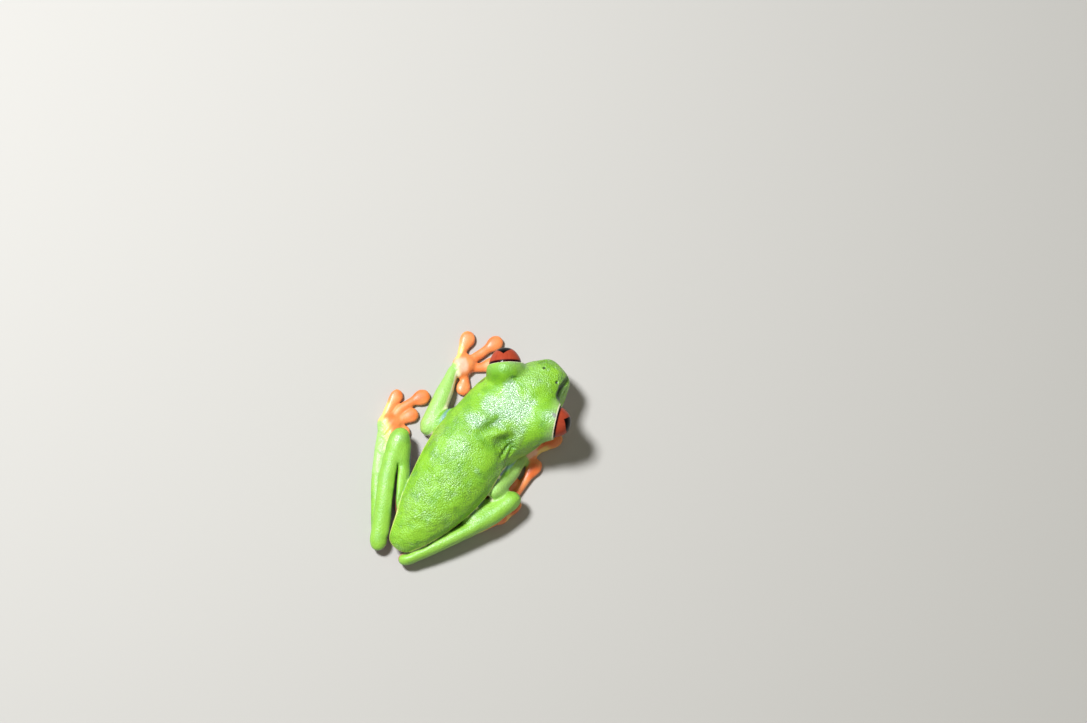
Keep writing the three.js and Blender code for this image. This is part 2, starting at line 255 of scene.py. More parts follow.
# Radii of the pads at the digits' tips, mm; the others' are 1.
DISC = {"toe_4": 1.35, "toe_5": 1.12, "toe_3": 1.1}
DISC |= {"finger_1": 1.1, "finger_2": 1.3, "finger_3": 1.4, "finger_4": 1.4}
DISC_HEIGHT = 0.72  # of a pad's middle above the floor
DISC_FLATNESS = 2.1

whole = tuple(slice(0, int(n)) for n in SHAPE)
parts = {}  # every node's own distances, on its block


def body_field():
    cut = block_of(*BODY, "eyelid_left", "eyelid_right", margin=MARGIN)
    field = np.full([c.stop - c.start for c in cut], 3.0, np.float32)
    for name in BODY:
        one = of_node(name, cut, band=1.0)
        field = np.minimum(field, one)
    for side in SIDES:
        field = np.minimum(field, ball(cut, EYE[side], EYE_RADIUS - 0.7))
    field = moved_out(field, cut, 0.45, 0.9)
    field = moved_out(field, cut, -0.45, 3.0)
    return cut, blurred(field, 0.85) - np.float32(0.06)


def disc_of(name):
    """The middle and radius of the round pad at a digit's tip."""
    kind, side = name.rsplit("_", 1)
    palm = middle(("hand_" if kind.startswith("finger") else "foot_") + side)
    where = np.array([v.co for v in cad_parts[name].data.vertices]) / MM
    reach = np.linalg.norm(where - palm, axis=1)
    tip = where[reach > reach.max() - 0.5].mean(0)
    course = unit((tip - where[reach > reach.max() - 3.0].mean(0)) * (1, 1, 0))
    radius = DISC.get(kind, 1.0)
    center = tip - (radius + 0.15) * course
    low, high = BOXES.min((0, 1))[:2] + radius + 0.2, BOXES.max((0, 1))[:2] - radius - 0.2
    center[:2] = np.clip(center[:2], low, high)
    center[2] = DISC_HEIGHT
    return center, radius


def flattened(path, cut):
    """A path moved to the lowest layer of a block."""
    return [np.array((p[0], p[1], (START[2] + cut[2].start) * STEP)) for p in path]


def limb_field(limb, side):
    names = [f"{n}_{side}" for n in LIMBS[limb]]
    cut = block_of(*names)
    out = np.full([c.stop - c.start for c in cut], 1.6, np.float32)
    palm = None
    for n in LIMBS[limb]:
        name = f"{n}_{side}"
        own = block_of(name)
        raw = of_node(name, own)
        parts[name] = (own, raw)
        sigma = SOFTNESS.get(n, DIGIT_SOFTNESS)
        soft = blurred(raw, sigma) - np.float32(0.35 * sigma * sigma + 0.02)
        if n[-1].isdigit():
            center, radius = disc_of(name)
            x, y, z = axes(own)
            up = DISC_FLATNESS * (z - center[2])
            flat = np.sqrt((x - center[0]) ** 2 + (y - center[1]) ** 2 + up**2)
            grown = 0.2 if n.startswith("toe") else 0.05
            soft = joined(soft - np.float32(grown), ((flat - radius) * 0.8).astype(np.float32), 0.8)
        inner = tuple(slice(p.start - w.start, p.stop - w.start) for p, w in zip(own, cut))
        if n in ("hand", "foot"):
            palm = np.full_like(out, 1.6)
            palm[inner] = soft
        if n[-1].isdigit():
            near = palm[inner]
            reach = np.where(near < 1.6, 0.4 + 1.9 * (1 - eased(0.3, 1.6, near)), 0.4).astype(np.float32)
        else:
            reach = {"tarsus": 0.7, "foot": 1.3, "forearm": 1.2, "hand": 1.3}.get(n, 1.0)
        if n == "shank":  # the folded leg's flesh meets near the knee
            reach = (0.5 + 2.2 * eased(12.0, 15.5, VENT[1] - axes(own)[1])).astype(np.float32)
        out[inner] = joined(out[inner], soft, reach)
    if limb == "leg" and side in SLIT:  # the slit between thigh and shank, open from above
        path = [in_frog(a, SIDES[side] * b, 6) for a, b in SLIT[side]]
        slit = block(np.min(path, 0) - (1, 1, 5), np.max(path, 0) + (1, 1, 3))
        both = [(max(p.start, w.start), min(p.stop, w.stop), w.start) for p, w in zip(slit, cut)]
        inner = tuple(slice(first - start, last - start) for first, last, start in both)
        slit = tuple(slice(i.start + w.start, i.stop + w.start) for i, w in zip(inner, cut))
        x, y, z = axes(slit)
        layer = (slit[0], slit[1], slice(slit[2].start, slit[2].start + 1))
        wall = tube(layer, flattened(path, slit), np.linspace(0.1, 0.42, len(path)))
        wall = np.maximum(wall + 0 * z, np.float32(VENT[2] + 1.6) - z)
        out[inner] = cut_away(out[inner], wall.astype(np.float32), 0.3)
    return cut, out


def canthal_groove(sign):
    out, down = (0.25, 0.35) if sign > 0 else (0, 0)
    course = ((8.5, 2.7, 0.1), (7.3, 3.0, 0.8), (5.7, 3.4, 1.7), (4.4, 4.1, 2.0), (3.2, 4.9, 2.0))
    return [in_head(a, sign * (b + out), c - down) for a, b, c in course]


body_cut, body = body_field()
parts["body"] = (body_cut, body)
skin = np.full(SHAPE, 3.0, np.float32)
skin[body_cut] = body
for side in SIDES:
    for limb, reach in (("leg", 0.6), ("arm", 0.9)):
        cut, field = limb_field(limb, side)
        join(skin, whole, field, cut, reach)

for side, sign in SIDES.items():
    # the groove under the ridge from nostril to eye
    path = canthal_groove(sign)
    cut = block(np.min(path, 0) - 2.5, np.max(path, 0) + 2.5)
    skin[cut] = cut_away(skin[cut], tube(cut, path, np.array([0.7, 0.8, 0.45, 0.4, 0.3]) * GROOVE[side]), 0.3)
    # the hollow between eye and nostril
    center = in_head(3.9, sign * (5.6 + 5.1), 1.3)
    cut = block(center - 7, center + 7)
    skin[cut] = cut_away(skin[cut], ball(cut, center, 5.4), 1.4)
    # the lids: a dome that narrows to a thin edge round the eye
    cut = block(EYE[side] - 8, EYE[side] + 8)
    edge = LID_EDGE[side]
    outside = beyond(cut, EYE[side] + edge * GAZE[side], GAZE[side])
    ring = math.sqrt(EYE_RADIUS**2 - edge**2) + 0.24
    narrowing = ball(cut, EYE[side] + (edge - 2.4) * GAZE[side], math.hypot(ring, 2.4))
    dome = -joined(-ball(cut, LID[side], LID_RADIUS), -narrowing, 0.8)
    dome = -joined(-dome, outside, 0.2)
    if side == "right":  # the temple, drawn up behind the lids
        skin[cut] = joined(skin[cut], ball(cut, in_head(-4.1, -5.6, 1.4), 3.2), 2.0)
    local = joined(skin[cut], dome, 1.3 if side == "left" else 2.2)
    moat = np.maximum(ball(cut, EYE[side], EYE_RADIUS + 0.2), outside)
    socket = np.minimum(ball(cut, EYE[side], EYE_RADIUS + 0.03), moat)
    skin[cut] = cut_away(local, socket, 0.1)
skin = blurred(skin, 0.13)
skin = np.maximum(skin, -axes(whole)[2] + np.float32(TO_FLOOR))
points, quads = surface(skin, whole)
del skin

# ---------------------------------------------------------------- relief


def lumps(where, size, seed):
    """Smooth random values from -1 to 1 that vary over a length."""
    n = 32
    table = np.random.default_rng(seed).uniform(-1, 1, (n, n, n))
    place = where / size
    cell = np.floor(place).astype(int)
    t = eased(0, 1, place - cell)
    total = np.zeros(len(where))
    for corner in np.ndindex(2, 2, 2):
        weight = np.prod(np.where(corner, t, 1 - t), axis=1)
        i = (cell + corner) % n
        total += weight * table[i[:, 0], i[:, 1], i[:, 2]]
    return total


def near_path(where, path):
    """The distance to a path of straight pieces, and the share of the way along it."""
    best = np.full(len(where), 1e9)
    share = np.zeros(len(where))
    path = [np.asarray(p, float) for p in path]
    for i, (a, b) in enumerate(zip(path, path[1:])):
        t = np.clip((where - a) @ (b - a) / ((b - a) @ (b - a)), 0, 1)
        gap = np.linalg.norm(where - a - t[:, None] * (b - a), axis=1)
        closer = gap < best
        best[closer], share[closer] = gap[closer], ((i + t) / (len(path) - 1))[closer]
    return best, share


def normals_of(points, quads):
    cross = np.cross(points[quads[:, 2]] - points[quads[:, 0]], points[quads[:, 3]] - points[quads[:, 1]])
    total = np.zeros_like(points)
    for i in range(4):
        np.add.at(total, quads[:, i], cross)
    return total / np.maximum(np.linalg.norm(total, axis=1), 1e-12)[:, None]


quads = quads.astype(np.int64)
points = points.astype(float)
normals = normals_of(points, quads)

ahead = (VENT[1] - points[:, 1])
left = (points[:, 0] - VENT[0])
head_at = np.stack([(points - HEAD) @ AHEAD, (points - HEAD) @ LEFT, (points - HEAD) @ RISE], 1)


def distance(name, where):
    """The distance from points to a part, by its field; far away where the field ends."""
    cut, field = parts[name]
    place = where / STEP - np.array(first_voxel(cut))
    inside = np.all((place >= 0) & (place <= np.array(field.shape) - 2), axis=1)
    out = np.full(len(where), 9.0)
    cell = place[inside].astype(int)
    t = place[inside] - cell
    total = np.zeros(len(cell))
    for corner in np.ndindex(2, 2, 2):
        i = cell + corner
        total += np.prod(np.where(corner, t, 1 - t), axis=1) * field[i[:, 0], i[:, 1], i[:, 2]]
    out[inside] = np.where((total > 1.5) & (name != "body"), 9.0, total)
    return out


LIMB_NODES = [f"{n}_{side}" for side in SIDES for limb in LIMBS.values() for n in limb]
limb_gap = {name: distance(name, points) for name in LIMB_NODES}
body_gap = distance("body", points)
nearest = np.minimum(np.min([limb_gap[n] for n in LIMB_NODES], 0), body_gap)
shares = {name: np.exp((nearest - limb_gap[name]) / 0.12) for name in LIMB_NODES}
body_share = np.exp((nearest - body_gap) / 0.12)
all_shares = sum(shares.values()) + body_share
lid_gap = {side: np.linalg.norm(points - EYE[side], axis=1) - EYE_RADIUS for side in SIDES}
on_body = body_share / all_shares  # 1 on trunk and head, 0 on limbs
upwards = eased(0.1, 0.6, normals[:, 2])


def profile(gap, width):
    """A rounded profile across a line or round a place: 1 at it, and almost 0 at two widths."""
    return np.exp(-((gap / width) ** 2))


def tapered(share):
    """1 midway along a path, falling to almost 0 at both of its ends."""
    return np.sqrt(np.sin(np.pi * np.clip(share, 0.02, 0.98)))


# Folds of the back and neck, seen from above: [ahead, left] along them, height and half-width.
FOLDS = [
    ([(28.0, 2.4), (30.6, 1.4), (32.6, 0.5)], -0.6, 0.9),
    ([(28.8, -0.2), (30.3, -1.0), (31.6, -2.2)], 0.45, 0.75),
    ([(27.4, -1.6), (30.1, -2.7), (32.2, -4.1)], -0.8, 1.3),
    ([(26.8, -4.3), (29.2, -4.1), (31.2, -4.5)], -0.6, 0.4),
    ([(27.6, -5.3), (29.9, -4.9), (30.8, -5.2)], -0.45, 0.3),
    ([(33.0, -4.2), (31.2, -5.2)], 0.25, 0.6),
    ([(33.4, 4.4), (31.2, 4.6), (29.4, 4.9)], -0.14, 0.6),
    ([(41.4, 3.5), (40.2, 4.7)], -0.4, 0.28),
]
WRINKLE = 0.17  # half-width of a fine wrinkle
draw = np.random.default_rng(7)
for _ in range(12):  # fine wrinkles across the neck's crease
    a = draw.uniform(27.2, 31.8)
    b = -3.9 + 0.15 * (a - 27) + draw.uniform(-0.5, 0.5)
    reach = draw.uniform(0.5, 1.0)
    path = [(a + 0.45 * reach, b + reach), (a - 0.45 * reach, b - reach)]
    FOLDS.append((path, draw.uniform(-0.14, -0.05), WRINKLE))
for _ in range(34):  # short wrinkles, mostly across the back
    a, b = draw.uniform(4, 27), draw.uniform(-6, 6)
    turn = math.radians(draw.uniform(60, 115))
    reach = draw.uniform(0.4, 1.3)
    way = (reach * math.cos(turn), reach * math.sin(turn))
    path = [(a - way[0], b - way[1]), (a + way[0], b + way[1])]
    FOLDS.append((path, draw.uniform(0.08, 0.2), WRINKLE))
relief = np.zeros(len(points))
fold_painted_shade = np.zeros(len(points))
flat = points.copy()
flat[:, 2] = 0
for path, height, width in FOLDS:
    gap, share = near_path(flat, [in_frog(a, b, -VENT[2]) * (1, 1, 0) for a, b in path])
    here = profile(gap, width) * tapered(share) * upwards * on_body
    relief += height * here
    if height < 0:
        fold_painted_shade = np.maximum(fold_painted_shade, here * min(1, -height / 0.6))

# The line that ends the green of the back, on a low ridge of the flank.
edge = np.zeros(len(points))
for sign in SIDES.values():
    stations, heights = [], []
    for station in range(2, 32, 2):
        near = (np.abs(ahead - station) < 0.5) & (on_body > 0.7) & (points[:, 2] > 2.5)
        outermost = points[near][np.argsort(-sign * left[near])[:12]]
        stations.append(station)
        heights.append(outermost[:, 2].mean())
    shape = np.polyfit(stations, heights, 4)
    side = sign * (left - np.interp(ahead, [0, 33], [0.5, 0.8])) > 0
    edge[side] = np.polyval(shape, np.clip(ahead[side], 1, 32)) + 0.4 + 0.5 * eased(8, 15, ahead[side])
along_flank = on_body * eased(1, 4, ahead) * (1 - eased(23, 29, ahead))
relief += 0.22 * profile(points[:, 2] - edge, 0.5) * along_flank

# Uneven flesh and fine wrinkles.
relief += on_body * upwards * (0.12 * lumps(points, 3.1, 1) + 0.1 * lumps(points, 1.5, 5))
stretched = points @ np.array(Matrix.Rotation(math.radians(35), 3, "Z")).T * (1, 0.35, 1)
lower_back = 1 - eased(20, 27, ahead)
relief += on_body * upwards * 0.1 * lower_back * np.clip(lumps(stretched, 0.8, 2), 0, 1)
relief += 0.03 * lumps(points, 1.3, 3) * (1 - 0.5 * on_body)

# Mouth, lips, nostrils, eardrums.
on_head = eased(-7.5, -5.5, head_at[:, 0]) * on_body
line = head_at[:, 2] - LIP + 0.05 * np.clip(-head_at[:, 0], 0, None) ** 1.5 * 0.4
relief -= 0.24 * profile(line, 0.14) * on_head
relief += 0.07 * profile(line - 0.45, 0.28) * on_head
nostril_painted_shade = np.zeros(len(points))
eardrum = np.zeros(len(points))
groove_painted_shade = np.zeros(len(points))
for side, sign in SIDES.items():
    gap, _ = near_path(points, canthal_groove(sign))
    groove_painted_shade = np.maximum(groove_painted_shade, (1 - eased(0.5, 1.05, gap)) * (2 * GROOVE[side] - 1))
    lip_groove = [in_head(a, sign * b, c) for a, b, c in ((6.6, 3.8, -0.1), (5.6, 4.1, 0.1), (4.4, 4.8, 0.3))]
    gap, share = near_path(points, lip_groove)
    relief -= 0.3 * profile(gap, 0.3) * tapered(share)
    guess = in_head(5.8, sign * 2.0, 2.6)
    spot = points[np.argmin(np.linalg.norm(points - guess, axis=1))]
    gap = np.linalg.norm(points - spot, axis=1)
    relief += 0.07 * profile(gap - 0.55, 0.2) - 0.42 * profile(gap, 0.24)
    nostril_painted_shade = np.maximum(nostril_painted_shade, 1 - eased(0.16, 0.4, gap))
    center = in_head(-5.3, sign * 9.0, 0.0)
    way = unit(-0.1 * AHEAD + sign * LEFT + 0.28 * RISE)
    off = points - center
    deep = off @ way
    r = np.sqrt(np.maximum((off**2).sum(1) - deep**2, 0))
    close = np.exp(-((deep / 1.5) ** 4)) * on_body
    rings = 0.07 * profile(r - 1.5, 0.2) - 0.13 * profile(r - 1.15, 0.16)
    relief += close * (rings - 0.05 * (1 - eased(0.6, 1.1, r)))
    eardrum = np.maximum(eardrum, close * (1 - eased(0.95, 1.15, r)))
    # the fold over the eardrum, from the eye to the arm
    course = ((-3.6, 8.3, 1.9), (-5.2, 8.6, 2.0), (-7.4, 9.2, 0.6), (-9.0, 9.2, -1.6))
    path = [in_head(a, sign * b, c) for a, b, c in course]
    gap, share = near_path(points, path)
    relief += 0.2 * profile(gap, 0.5) * tapered(share) * on_body
# The lids' inner faces stay clear of the eyes.
relief *= np.min([eased(0.0, 0.35, lid_gap[s]) for s in SIDES], 0)
points = points + relief[:, None] * normals
points[:, 2] = np.maximum(points[:, 2], TO_FLOOR)
# The outermost toes' pads are drawn in to the model's own width.
reach = BOXES.max((0, 1))[0] - 0.6
points[:, 0] -= np.sign(points[:, 0]) * 0.42 * np.maximum(np.abs(points[:, 0]) - reach, 0)

# ---------------------------------------------------------------- the skin's colours


def srgb(r, g, b):
    c = np.array((r, g, b)) / 255
    return np.where(c <= 0.04045, c / 12.92, ((c + 0.055) / 1.055) ** 2.4)


GREEN = srgb(127, 187, 27)
GREEN_LIGHT = srgb(152, 208, 50)
GREEN_DEEP = srgb(92, 156, 14)
PALE_GREEN = srgb(164, 210, 112)
EDGE = srgb(226, 230, 132)
CREAM = srgb(244, 240, 200)
YELLOW = srgb(246, 232, 130)
WHITE = srgb(240, 236, 222)
BLUE = srgb(62, 110, 160)
PURPLE = srgb(62, 60, 110)
ORANGE = srgb(232, 110, 42)
ORANGE_PALE = srgb(246, 160, 96)
PINK = srgb(240, 196, 170)
DARK = srgb(20, 16, 10)


def mixed(a, b, t):
    a = np.broadcast_to(a, (len(t), 3))
    b = np.broadcast_to(b, (len(t), 3))
    return a + (b - a) * np.asarray(t)[:, None]


count = len(points)
mottle = 0.5 + 0.5 * lumps(points, 4.0, 11)
green = mixed(GREEN, GREEN_LIGHT, 0.6 * mottle)
green = mixed(green, GREEN_DEEP, 0.45 * eased(0.0, 0.7, lumps(points, 1.7, 12)))

# painted shade in the hollows of the folds and the neck's crease
green = mixed(green, srgb(64, 118, 8), 0.6 * fold_painted_shade)

# Trunk and head.
WOBBLE = 0.12  # how unevenly the bounds of colours run, mm
wobble = WOBBLE * lumps(points, 2.0, 13)
shoulder = eased(24, 31.5, ahead)
height = (points[:, 2] - edge) * (1 - shoulder) + line * shoulder + wobble
bars = 0.5 + 0.5 * np.sin(2 * np.pi * (ahead + 0.35 * points[:, 2] + 0.5 * lumps(points, 3.0, 14)) / 2.6)
flank = mixed(mixed(PURPLE, BLUE, 0.5 + 0.5 * lumps(points, 1.5, 15)), CREAM, eased(0.72, 0.9, bars))
belly = mixed(WHITE, CREAM, 0.5 + 0.5 * lumps(points, 1.2, 16))
belly = mixed(belly, WHITE, eased(29, 32, ahead))
low = eased(1.4, 2.6, points[:, 2] + 0.5 * wobble) * eased(2.5, 5, ahead)
trunk = mixed(belly, flank, low * (1 - eased(25.5, 28.5, ahead + 4 * wobble)))
trunk = mixed(trunk, EDGE, eased(-0.4, -0.2, height))
trunk = mixed(trunk, green, eased(0.0, 0.4, height))
head = mixed(WHITE, green, eased(-0.02, 0.14, line))
head = mixed(head, srgb(104, 112, 66), 0.6 * profile(line, 0.1))
head = mixed(head, CREAM, 0.8 * profile(line - 0.16, 0.13))
head = mixed(head, mixed(GREEN_DEEP, srgb(120, 100, 60), np.full(count, 0.45)), eardrum)
# painted shade in the groove from nostril to eye, darker on the right side
head = mixed(head, srgb(10, 24, 4), 0.88 * groove_painted_shade)
# painted shade in the nostrils
head = mixed(head, DARK, nostril_painted_shade)
body_colour = mixed(trunk, head, eased(-9.4, -8.2, head_at[:, 0]))

# Lids: smooth and a little darker, with a thin pale rim that a painted highlight brightens on top, a painted
# sheen towards their edges, and painted shade where they lie against the eye.
for side in SIDES:
    from_lid = np.linalg.norm(points - LID[side], axis=1)
    on_dome = 1 - eased(LID_RADIUS + 0.05, LID_RADIUS + 0.5, from_lid)
    out = (points - EYE[side]) @ GAZE[side]
    body_colour = mixed(body_colour, mixed(green, GREEN_DEEP, np.full(count, 0.5)), 0.6 * on_dome)
    # painted sheen: the lids paler towards their edges and on their upper side, more so on the right lid
    lid_painted_sheen = {"left": 0.3, "right": 0.75}[side] * eased(LID_EDGE[side] - 2.6, LID_EDGE[side] - 0.2, out)
    upper = eased(-0.3, 0.5, (points - EYE[side]) @ RISE / EYE_RADIUS)
    body_colour = mixed(body_colour, PALE_GREEN, lid_painted_sheen * (0.35 + 0.65 * upper) * (from_lid < LID_RADIUS + 0.5))
    # the lids' pale margin, brightened on its upper part by a painted highlight
    rim_with_painted_highlight = eased(LID_EDGE[side] - 0.36, LID_EDGE[side] - 0.24, out) * (from_lid < LID_RADIUS + 0.3)
    rim_with_painted_highlight *= 0.2 + 0.8 * upper
    body_colour = mixed(body_colour, CREAM, rim_with_painted_highlight)
    # painted shade on the skin that lies against the eye inside the lids
    body_colour = mixed(body_colour, DARK, (lid_gap[side] < 0.1) & (out < LID_EDGE[side] - 0.12))

# A mauve mark on the right lid.
mark = np.linalg.norm(points - in_head(0.9, -7.3, 6.1), axis=1) - 0.25 * lumps(points, 0.5, 41)
body_colour = mixed(body_colour, srgb(140, 128, 136), 0.85 * (1 - eased(0.3, 0.65, mark)))


def limb_frame(name):
    """A limb's middle, its outer side and its upper side, from its node's points."""
    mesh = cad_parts[name].data
    where = np.array([v.co for v in mesh.vertices]) / MM
    center = where.mean(0)
    course = np.linalg.svd(where - center, full_matrices=False)[2][0]
    side = SIDES[name.rsplit("_", 1)[1]]
    outer = unit(np.cross(course, (0, 0, 1)))
    if outer[0] * side < 0:
        outer = -outer
    upper = np.cross(course, outer)
    return center, outer, unit(upper if upper[2] > 0 else -upper)


def round_limb(name):
    """How far points lie towards a limb's outer side and its upper side, in mm from its axis."""
    center, outer, upper = limb_frame(name)
    off = points - center
    return off @ outer, off @ upper


def window(low, high, value, soft=10):
    """1 between two values, eased at both."""
    return eased(low - soft, low + soft, value) * (1 - eased(high - soft, high + soft, value))


colours = {}
for name in LIMB_NODES:
    kind, side = name.rsplit("_", 1)
    out, up = round_limb(name)
    angle = np.degrees(np.arctan2(up, out)) + 8 * wobble / WOBBLE
    over = (angle + 120) % 360 - 120  # the windows of colour run from below the outer side, over the top
    orange = mixed(ORANGE, ORANGE_PALE, 0.5 + 0.5 * lumps(points, 1.6, 21))
    orange = mixed(orange, PINK, 0.5 * (1 - eased(-0.9, -0.2, normals[:, 2])))
    green_here = mixed(green, PALE_GREEN, 0.25 + 0.1 * lumps(points, 1.9, 24))
    if kind == "thigh":
        c = mixed(mixed(BLUE, PURPLE, 0.5 + 0.5 * lumps(points, 2, 22)), green_here, window(34, 150, over))
        c = mixed(c, ORANGE, (1 - eased(-70, -20, angle)) * eased(-170, -150, angle) * 0.6)
    elif kind == "shank":
        c = mixed(mixed(BLUE, ORANGE, 0.5 + 0.5 * lumps(points, 2.4, 23)), PALE_GREEN, window(-36, 178, over))
        c = mixed(c, green_here, window(-28, 170, over))
    elif kind == "tarsus":
        c = mixed(orange, YELLOW, window(-60, 225, over))
        c = mixed(c, PALE_GREEN, window(-48, 220, over))
        fading = {"left": 0.5, "right": 0.75}[side] * eased(3, 12.5, ahead)
        c = mixed(c, green, window(-15, 150, over) * (0.85 - fading))
    elif kind == "foot":
        if side == "left":
            inwards = 0.766 * (ahead - 16.6) - 0.643 * (left - 16) + 4 * wobble
        else:
            inwards = 0.5 * (ahead - 15.4) + 4 * wobble
        c = mixed(orange, YELLOW, window(-60, 200, over) * (1 - eased(-0.8, 1.4, inwards)))
        c = mixed(c, PALE_GREEN, window(-48, 200, over) * (1 - eased(-1.6, 0.6, inwards)))
    elif kind == "upper_arm":
        elbow = 1 - eased(0.5, 1.4, limb_gap[f"forearm_{side}"])
        c = mixed(mixed(BLUE, PALE_GREEN, np.full(count, 0.3)), green, elbow)
        c = mixed(c, green, eased(-0.1, 0.5, height) * (1 - eased(0.3, 0.9, body_gap)))
    elif kind == "forearm":
        c = mixed(CREAM, mixed(green, PALE_GREEN, np.full(count, 0.8)), window(-35, 128, over))
    elif kind == "hand":
        c = mixed(orange, PINK, window(20, 140, over) * 0.8)
    elif kind in ("finger_4", "toe_5"):
        from_pad = np.linalg.norm((points - disc_of(name)[0]) * (1, 1, 0), axis=1)
        c = mixed(orange, YELLOW, window(-20, 80, over) * 0.65 * eased(1.2, 2.6, from_pad))
    else:
        c = orange
    colours[name] = c

tint = body_share[:, None] * body_colour
for name in LIMB_NODES:
    tint = tint + shares[name][:, None] * colours[name]
tint /= all_shares[:, None]
patches = np.clip(0.5 + 0.45 * lumps(points, 2.6, 31) + 0.3 * lumps(points, 1.0, 32), 0, 1)
flecks = eased(0.35, 0.75, lumps(points, 0.75, 33)) * eased(0.3, 0.7, patches)
shine = np.maximum(0.3 * eased(0.5, 0.85, patches), 0.7 * flecks * eased(3, 10, ahead) * eased(-5, -1, left))
WET = [  # patches as [ahead, left, width, most]
    (36.1, 0.8, 4.8, 1),
    (33.8, 4.6, 2.4, 0.9),
    (29.4, 4.4, 2.0, 0.9),
    (22.5, 3.6, 2.6, 0.4),
    (43.5, 2.6, 3.6, 0.45),
]
for a, b, width, most in WET:
    away = np.hypot(ahead - a, left - b) / width
    shine = np.maximum(shine, most * eased(0.5, 0.95, 0.65 * patches + 0.92 - 0.6 * away))
wet = np.clip(shine, 0, 1) * on_body * upwards
knee = np.hypot(ahead - 17.6, left - 13.6) / 0.9
wet = np.maximum(wet, np.exp(-(knee**2)) * (points[:, 2] > 3.5) * eased(0.3, 0.8, normals[:, 2]))
for place, size in ((in_head(0.6, -7.2, 5.8), 1.5), (in_head(2.2, 6.6, 5.6), 1.6)):  # on the lids
    gap = np.linalg.norm(points - place, axis=1)
    wet = np.maximum(wet, 0.8 * profile(gap, size) * eased(0.2, 0.6, patches))
wet *= 1 - nostril_painted_shade
tint = mixed(tint, srgb(190, 226, 205), 0.26 * wet**2.5 * on_body)  # painted sheen: the colour lightened to a bluish white where the skin is wettest
grain = on_body * (0.5 + 0.5 * np.maximum(eased(0.2, 0.9, patches), wet))
for side in SIDES:
    grain *= eased(LID_RADIUS - 0.1, LID_RADIUS + 0.7, np.linalg.norm(points - LID[side], axis=1)) * 0.3 + 0.7
greenness = eased(0.0, 0.2, tint[:, 1] - tint[:, 0])
grain = np.maximum(grain * (0.25 + 0.75 * greenness), 0.12 + 0.23 * greenness)

# ---------------------------------------------------------------- meshes and materials


def new_mesh(name, points, faces):
    mesh = bpy.data.meshes.new(name)
    sides = faces.shape[1]
    mesh.vertices.add(len(points))
    mesh.vertices.foreach_set("co", (points * MM).astype(np.float32).ravel())
    mesh.loops.add(len(faces) * sides)
    mesh.loops.foreach_set("vertex_index", faces.astype(np.int32).ravel())
    mesh.polygons.add(len(faces))
    mesh.polygons.foreach_set("loop_start", np.arange(0, sides * len(faces), sides, dtype=np.int32))
    mesh.polygons.foreach_set("use_smooth", np.ones(len(faces), bool))
    mesh.update(calc_edges=True)
    mesh.validate()
    piece = bpy.data.objects.new(name, mesh)
    bpy.context.scene.collection.objects.link(piece)
    return piece


skin = new_mesh("skin", points, quads)
colour = skin.data.color_attributes.new("tint", "FLOAT_COLOR", "POINT")
colour.data.foreach_set("color", np.hstack([tint, np.ones((count, 1))]).astype(np.float32).ravel())
rough = skin.data.attributes.new("grain", "FLOAT", "POINT")
rough.data.foreach_set("value", grain.astype(np.float32))
gloss = skin.data.attributes.new("wet", "FLOAT", "POINT")
gloss.data.foreach_set("value", wet.astype(np.float32))


class Nodes:
    """A material's nodes, made and linked by short calls."""

    def __init__(self, name):
        self.material = bpy.data.materials.new(name)
        self.material.use_nodes = True
        self.tree = self.material.node_tree
        self.shader = self.tree.nodes["Principled BSDF"]

    def add(self, kind, props=None, **inputs):
        node = self.tree.nodes.new("ShaderNode" + kind)
        for key, value in (props or {}).items():
            setattr(node, key, value)
        for key, value in inputs.items():
            self.put(node, key.replace("_", " "), value)
        return node

    def put(self, node, socket, value):
        target = node.inputs[int(socket) if socket.isdigit() else socket]
        if isinstance(value, bpy.types.NodeSocket):
            self.tree.links.new(value, target)
        else:
            target.default_value = value

    def set(self, **inputs):
        for key, value in inputs.items():
            self.put(self.shader, key.replace("_", " "), value)


